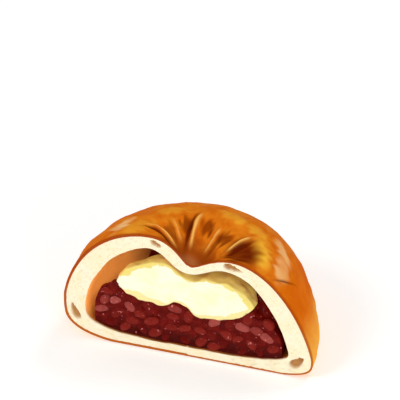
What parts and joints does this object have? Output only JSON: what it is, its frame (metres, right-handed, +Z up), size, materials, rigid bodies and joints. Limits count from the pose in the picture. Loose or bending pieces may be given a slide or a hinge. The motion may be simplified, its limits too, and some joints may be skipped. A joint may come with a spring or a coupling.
{
  "type": "filled bun half",
  "caption": "Half of a round anpan cut upright: baked crust with a folded dimple on top, pale crumb, red bean paste with whole beans and a slab of pale cream in the hollow.",
  "frame": {"origin": "bottom centre of the box round the piece, on the plane it rests on", "axes": "+X along the cut face, +Y from the cut face into the bun, +Z up"},
  "size_m": [0.1, 0.0564, 0.0537],
  "materials": {
    "crust": "egg-washed golden brown, darker in the dimple",
    "crumb": "soft pale crumb with small pores",
    "bean_paste": "moist dark red",
    "whole_beans": "moist, lighter red",
    "cream": "pale yellow, smooth"
  },
  "bodies": {
    "root": {"bread": "crust", "bean_paste": "bean_paste", "cream": "cream"}
  },
  "joints": []
}
